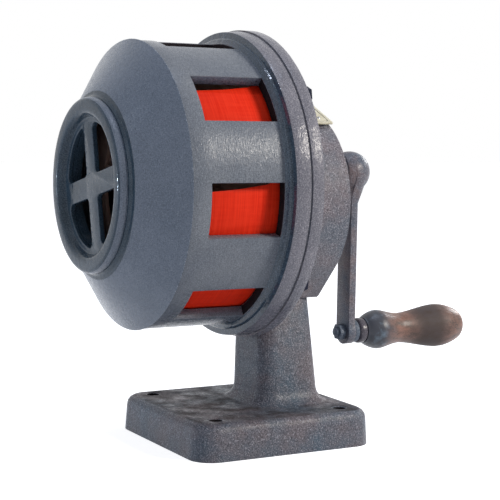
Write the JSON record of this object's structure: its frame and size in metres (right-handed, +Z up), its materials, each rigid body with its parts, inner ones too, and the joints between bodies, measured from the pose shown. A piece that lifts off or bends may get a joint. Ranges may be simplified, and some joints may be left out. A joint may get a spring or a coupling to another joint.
{
  "type": "hand-cranked siren",
  "caption": "Hand-cranked siren on a cast pedestal: ported stator, red vaned rotor, step-up gear case, crank with a wooden turning grip.",
  "frame": {"origin": "centre of the four base bolt holes, on the underside of the pedestal", "axes": "+Z up out of the mounting surface; +Y from the intake towards the crank, along the rotor axis"},
  "size_m": [0.24, 0.3501, 0.322],
  "materials": {
    "blue_enamel": "gloss",
    "grey_enamel": "satin",
    "red_enamel": "gloss",
    "zinc_steel": "satin",
    "ground_steel": "polished",
    "bronze": "satin",
    "cast_iron": "matte",
    "cream_plate": "satin",
    "gasket": "matte",
    "stained_wood": "satin"
  },
  "bodies": {
    "body": {"pedestal": "grey_enamel", "housing_bolts": "zinc_steel", "gear_housing": "grey_enamel", "crank_bushes": "bronze", "layshaft_bushes": "bronze", "flange_bolts": "zinc_steel", "name_plate": "cream_plate", "plate_rivets": "zinc_steel", "bearing_plate": "cast_iron", "plate_screws": "zinc_steel", "bearing_outer_rings": "ground_steel", "stator": "blue_enamel", "flange_gasket": "gasket", "intake_cone": "blue_enamel", "intake_ring": "blue_enamel", "intake_grille": "blue_enamel", "gear_washer": "bronze", "crank_washer": "ground_steel"},
    "rotor_body": {"rotor": "red_enamel", "rotor_shaft": "ground_steel", "rotor_spacer": "ground_steel", "rotor_washer": "zinc_steel", "rotor_nut": "zinc_steel", "rotor_pinion": "ground_steel", "pinion_clip": "zinc_steel", "bearing_inner_rings": "ground_steel"},
    "cage_body": {"bearing_balls": "ground_steel", "bearing_cages": "bronze"},
    "layshaft_body": {"layshaft": "ground_steel", "lay_gear": "ground_steel", "lay_pinion": "ground_steel"},
    "crank_body": {"crank_gear": "ground_steel", "crank_shaft": "ground_steel", "crank_arm": "grey_enamel", "crank_pin": "ground_steel", "spindle_nut": "zinc_steel", "grip_spindle": "zinc_steel", "grip_washer": "zinc_steel"},
    "grip_body": {"grip": "stained_wood", "grip_ferrule": "grey_enamel"}
  },
  "joints": [
    {"name": "rotor_spin", "type": "hinge", "parent": "body", "child": "rotor_body", "pos_m": [0, 0, 0.202], "axis": [0, 1, 0], "continuous": true},
    {"name": "cage_turn", "type": "hinge", "parent": "body", "child": "cage_body", "pos_m": [0, 0, 0.202], "axis": [0, 1, 0], "continuous": true},
    {"name": "layshaft_turn", "type": "hinge", "parent": "body", "child": "layshaft_body", "pos_m": [0, 0, 0.16075], "axis": [0, 1, 0], "continuous": true},
    {"name": "crank_turn", "type": "hinge", "parent": "body", "child": "crank_body", "pos_m": [0, 0, 0.21075], "axis": [0, 1, 0], "continuous": true},
    {"name": "grip_spin", "type": "hinge", "parent": "crank_body", "child": "grip_body", "pos_m": [0, 0.15, 0.07855], "axis": [0, 1, 0], "continuous": true}
  ],
  "couplings": [
    {"joint": "layshaft_turn", "follows": "rotor_spin", "ratio": -0.22222},
    {"joint": "crank_turn", "follows": "rotor_spin", "ratio": 0.039216},
    {"joint": "cage_turn", "follows": "rotor_spin", "ratio": 0.381}
  ]
}
